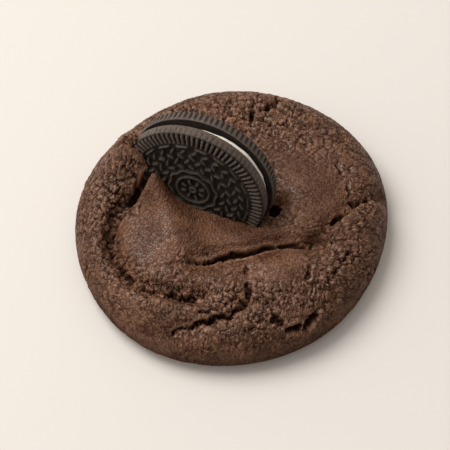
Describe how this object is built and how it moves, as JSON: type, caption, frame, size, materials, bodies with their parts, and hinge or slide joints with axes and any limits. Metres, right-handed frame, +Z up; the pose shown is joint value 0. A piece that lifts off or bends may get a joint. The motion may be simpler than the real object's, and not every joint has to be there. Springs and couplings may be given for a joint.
{
  "type": "chocolate cookie with a sandwich biscuit",
  "caption": "Large soft-baked chocolate cookie with a dark cream-filled sandwich biscuit pressed upright into its cracked, folded top.",
  "frame": {"origin": "on the table, under the middle of the cookie", "axes": "+Z up out of the cookie's top, +X to the right and -Y towards the side that the biscuit faces"},
  "size_m": [0.0914, 0.0929, 0.0455],
  "materials": {
    "dough": "baked chocolate dough, matte, granular and cracked",
    "dark_wafer": "very dark crisp wafer, matte with a faint sheen on the raised relief",
    "cream": "firm sugar cream, soft matte"
  },
  "bodies": {
    "root": {"cookie": "dough", "wafer_front": "dark_wafer", "wafer_back": "dark_wafer", "cream": "cream"}
  },
  "joints": []
}
